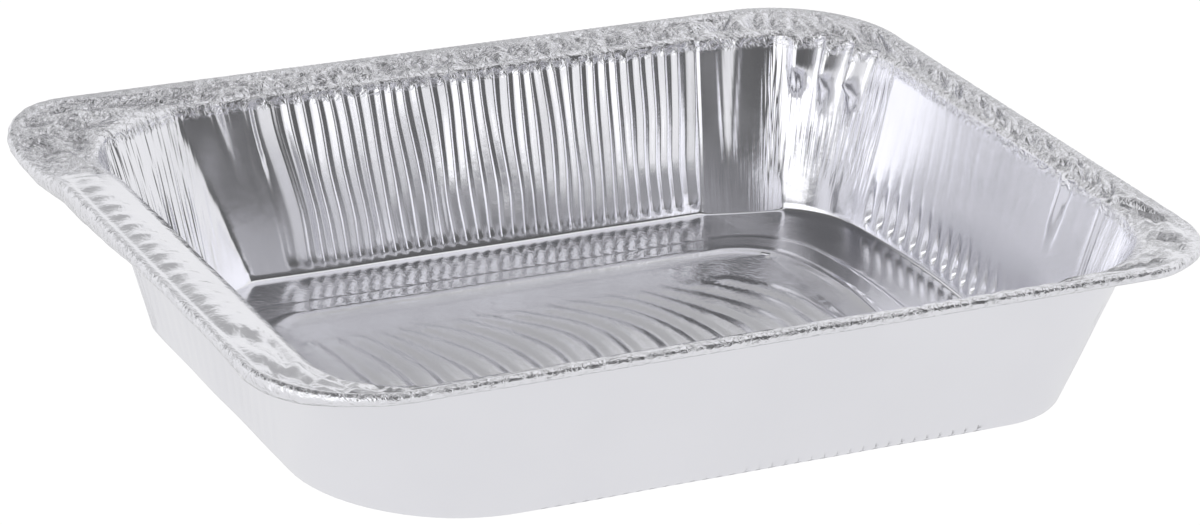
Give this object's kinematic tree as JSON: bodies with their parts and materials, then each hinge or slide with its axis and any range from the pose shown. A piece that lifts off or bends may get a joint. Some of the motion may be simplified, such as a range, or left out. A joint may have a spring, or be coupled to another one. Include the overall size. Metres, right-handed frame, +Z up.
{
  "type": "foil roasting pan",
  "caption": "Deep rectangular roasting pan pressed from thin aluminium foil, with fluted walls, a crimped flange and a rolled rim.",
  "frame": {"origin": "on the plane the pan rests on, below the middle of the rim's outline", "axes": "+X along the pan's length to the right, +Y across it to the back, +Z up out of the opening"},
  "size_m": [0.324, 0.2636, 0.0631],
  "materials": {
    "foil": "bright rolled foil"
  },
  "bodies": {
    "root": {"pan": "foil"}
  },
  "joints": []
}
